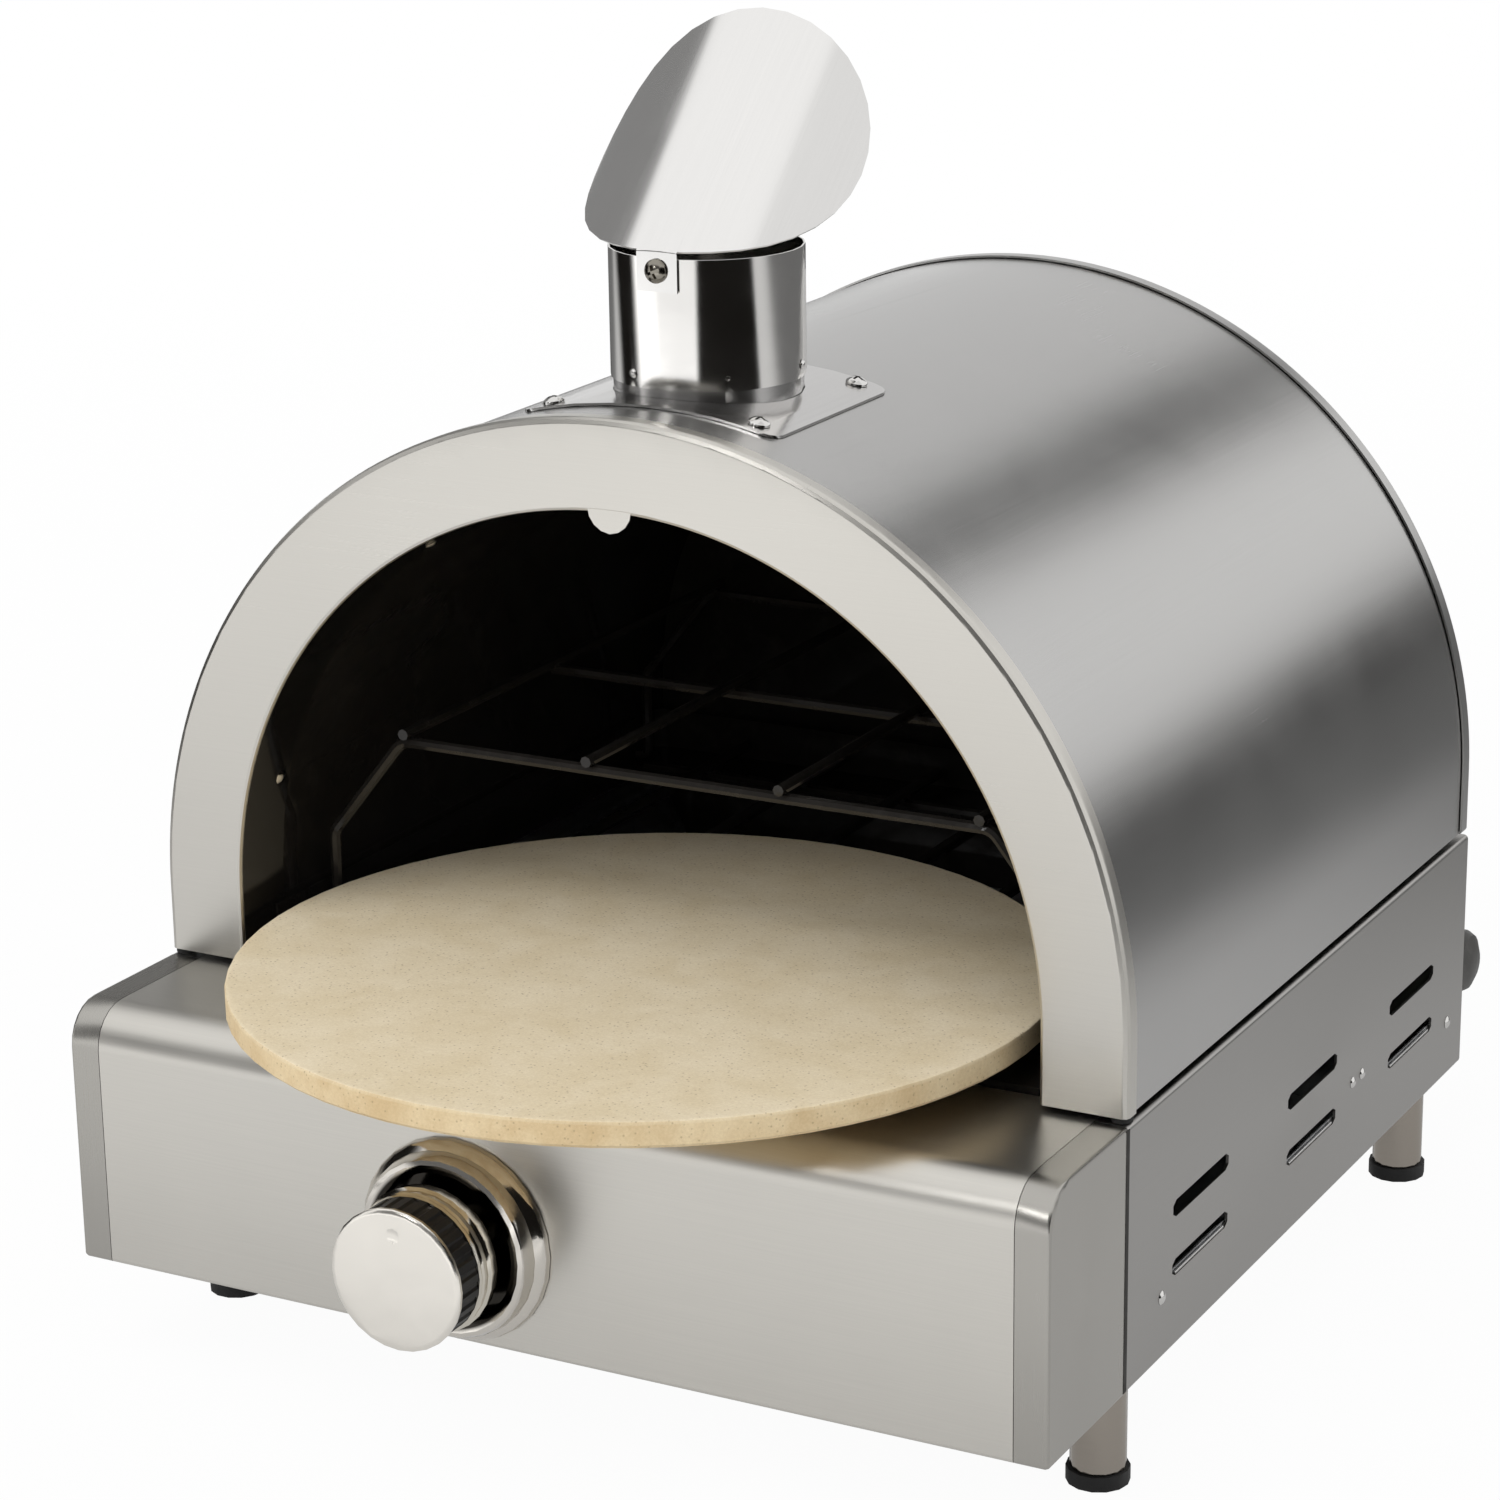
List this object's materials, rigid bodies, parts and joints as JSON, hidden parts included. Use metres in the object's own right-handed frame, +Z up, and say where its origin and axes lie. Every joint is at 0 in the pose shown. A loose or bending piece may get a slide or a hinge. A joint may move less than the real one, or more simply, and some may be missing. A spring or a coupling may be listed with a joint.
{
  "type": "gas pizza oven",
  "caption": "Portable gas pizza oven: an arched steel hood with a chimney, hinged at the rear of a burner base on feet, with a round stone and a warming rack inside.",
  "frame": {"origin": "on the floor under the middle of the oven's overall box", "axes": "+X to the right seen from the front, +Y from the mouth to the rear, +Z up"},
  "size_m": [0.43, 0.5724, 0.5354],
  "materials": {
    "back_panel": "brushed stainless steel, clear grain",
    "base_tray": "galvanised sheet steel, dull spangle",
    "burner_bracket": "galvanised sheet steel, dull spangle",
    "burner_tube": "galvanised sheet steel, dull spangle",
    "cap_screw": "polished metal",
    "chimney_plate": "satin stainless steel",
    "console_end_left": "brushed stainless steel, clear grain",
    "console_end_right": "brushed stainless steel, clear grain",
    "console_panel": "brushed stainless steel, clear grain",
    "firebox": "glossy black enamel on steel",
    "firebox_stay_left": "galvanised sheet steel, dull spangle",
    "firebox_stay_right": "galvanised sheet steel, dull spangle",
    "flue_collar": "satin stainless steel",
    "flue_tube": "polished metal",
    "foot_front_left": "brushed stainless steel, clear grain",
    "foot_front_right": "brushed stainless steel, clear grain",
    "foot_pad_front_left": "matt black rubber",
    "foot_pad_front_right": "matt black rubber",
    "foot_pad_rear_left": "matt black rubber",
    "foot_pad_rear_right": "matt black rubber",
    "foot_rear_left": "brushed stainless steel, clear grain",
    "foot_rear_right": "brushed stainless steel, clear grain",
    "front_ring": "brushed stainless steel, clear grain",
    "gas_inlet": "machined brass",
    "gas_pipe": "machined brass",
    "gas_valve": "machined brass",
    "handle_bracket_left": "satin stainless steel",
    "handle_bracket_right": "satin stainless steel",
    "handle_grip": "dark grey moulded plastic",
    "heat_deflector": "galvanised sheet steel, dull spangle",
    "hinge_leaf_base_left": "satin stainless steel",
    "hinge_leaf_base_right": "satin stainless steel",
    "hinge_leaf_hood_left": "satin stainless steel",
    "hinge_leaf_hood_right": "satin stainless steel",
    "hinge_pin_left": "satin stainless steel",
    "hinge_pin_right": "satin stainless steel",
    "hood_back": "brushed stainless steel, clear grain",
    "hood_bumper_left": "matt black rubber",
    "hood_bumper_right": "matt black rubber",
    "hood_skin": "brushed stainless steel, clear grain",
    "ignition_electrode": "glazed white ceramic",
    "ignition_wire": "matt black rubber",
    "knob_bezel": "polished metal",
    "knob_face": "polished metal",
    "knob_grip": "black moulded plastic",
    "knob_skirt": "polished metal",
    "liner_back": "glossy black enamel on steel",
    "oven_liner": "glossy black enamel on steel",
    "pizza_stone": "rough cordierite, cream on top",
    "plate_screw_front_left": "polished metal",
    "plate_screw_front_right": "polished metal",
    "plate_screw_rear_left": "polished metal",
    "plate_screw_rear_right": "polished metal",
    "rain_cap": "satin stainless steel",
    "side_panel_left": "brushed stainless steel, clear grain",
    "side_panel_right": "brushed stainless steel, clear grain",
    "stone_support": "glossy black enamel on steel",
    "valve_stem": "machined brass",
    "warming_rack": "glossy black enamel on steel"
  },
  "bodies": {
    "base": {"back_panel": "back_panel", "base_tray": "base_tray", "burner_bracket": "burner_bracket", "burner_tube": "burner_tube", "console_end_left": "console_end_left", "console_end_right": "console_end_right", "console_panel": "console_panel", "firebox": "firebox", "firebox_stay_left": "firebox_stay_left", "firebox_stay_right": "firebox_stay_right", "foot_front_left": "foot_front_left", "foot_front_right": "foot_front_right", "foot_pad_front_left": "foot_pad_front_left", "foot_pad_front_right": "foot_pad_front_right", "foot_pad_rear_left": "foot_pad_rear_left", "foot_pad_rear_right": "foot_pad_rear_right", "foot_rear_left": "foot_rear_left", "foot_rear_right": "foot_rear_right", "gas_inlet": "gas_inlet", "gas_pipe": "gas_pipe", "gas_valve": "gas_valve", "handle_bracket_left": "handle_bracket_left", "handle_bracket_right": "handle_bracket_right", "handle_grip": "handle_grip", "heat_deflector": "heat_deflector", "hinge_leaf_base_left": "hinge_leaf_base_left", "hinge_leaf_base_right": "hinge_leaf_base_right", "hinge_pin_left": "hinge_pin_left", "hinge_pin_right": "hinge_pin_right", "hood_bumper_left": "hood_bumper_left", "hood_bumper_right": "hood_bumper_right", "ignition_electrode": "ignition_electrode", "ignition_wire": "ignition_wire", "knob_bezel": "knob_bezel", "side_panel_left": "side_panel_left", "side_panel_right": "side_panel_right", "stone_support": "stone_support"},
    "valve_stem": {"valve_stem": "valve_stem"},
    "knob": {"knob_face": "knob_face", "knob_grip": "knob_grip", "knob_skirt": "knob_skirt"},
    "hood": {"front_ring": "front_ring", "hood_skin": "hood_skin", "hood_back": "hood_back", "oven_liner": "oven_liner", "liner_back": "liner_back", "chimney_plate": "chimney_plate", "flue_collar": "flue_collar", "flue_tube": "flue_tube", "rain_cap": "rain_cap", "cap_screw": "cap_screw", "plate_screw_front_left": "plate_screw_front_left", "plate_screw_front_right": "plate_screw_front_right", "plate_screw_rear_left": "plate_screw_rear_left", "plate_screw_rear_right": "plate_screw_rear_right", "hinge_leaf_hood_left": "hinge_leaf_hood_left", "hinge_leaf_hood_right": "hinge_leaf_hood_right"},
    "rack": {"warming_rack": "warming_rack"},
    "stone": {"pizza_stone": "pizza_stone"}
  },
  "joints": [
    {"name": "hood_hinge", "type": "hinge", "parent": "base", "child": "hood", "pos_m": [0, 0.24425, 0.152], "axis": [-1, 0, 0], "range_deg": [0, 75]},
    {"name": "knob_push", "type": "slide", "parent": "base", "child": "valve_stem", "axis": [0, 1, 0], "range_m": [0, 0.004], "stiffness_N_per_m": 800},
    {"name": "knob_turn", "type": "hinge", "parent": "valve_stem", "child": "knob", "pos_m": [-0.034, -0.21225, 0.087], "axis": [0, -1, 0], "range_deg": [0, 180]},
    {"name": "rack_slide", "type": "slide", "parent": "base", "child": "rack", "axis": [0, 1, 0], "range_m": [-0.4, 0]},
    {"name": "stone_slide", "type": "slide", "parent": "base", "child": "stone", "axis": [0, 1, 0], "range_m": [-0.2, 0.15]}
  ]
}
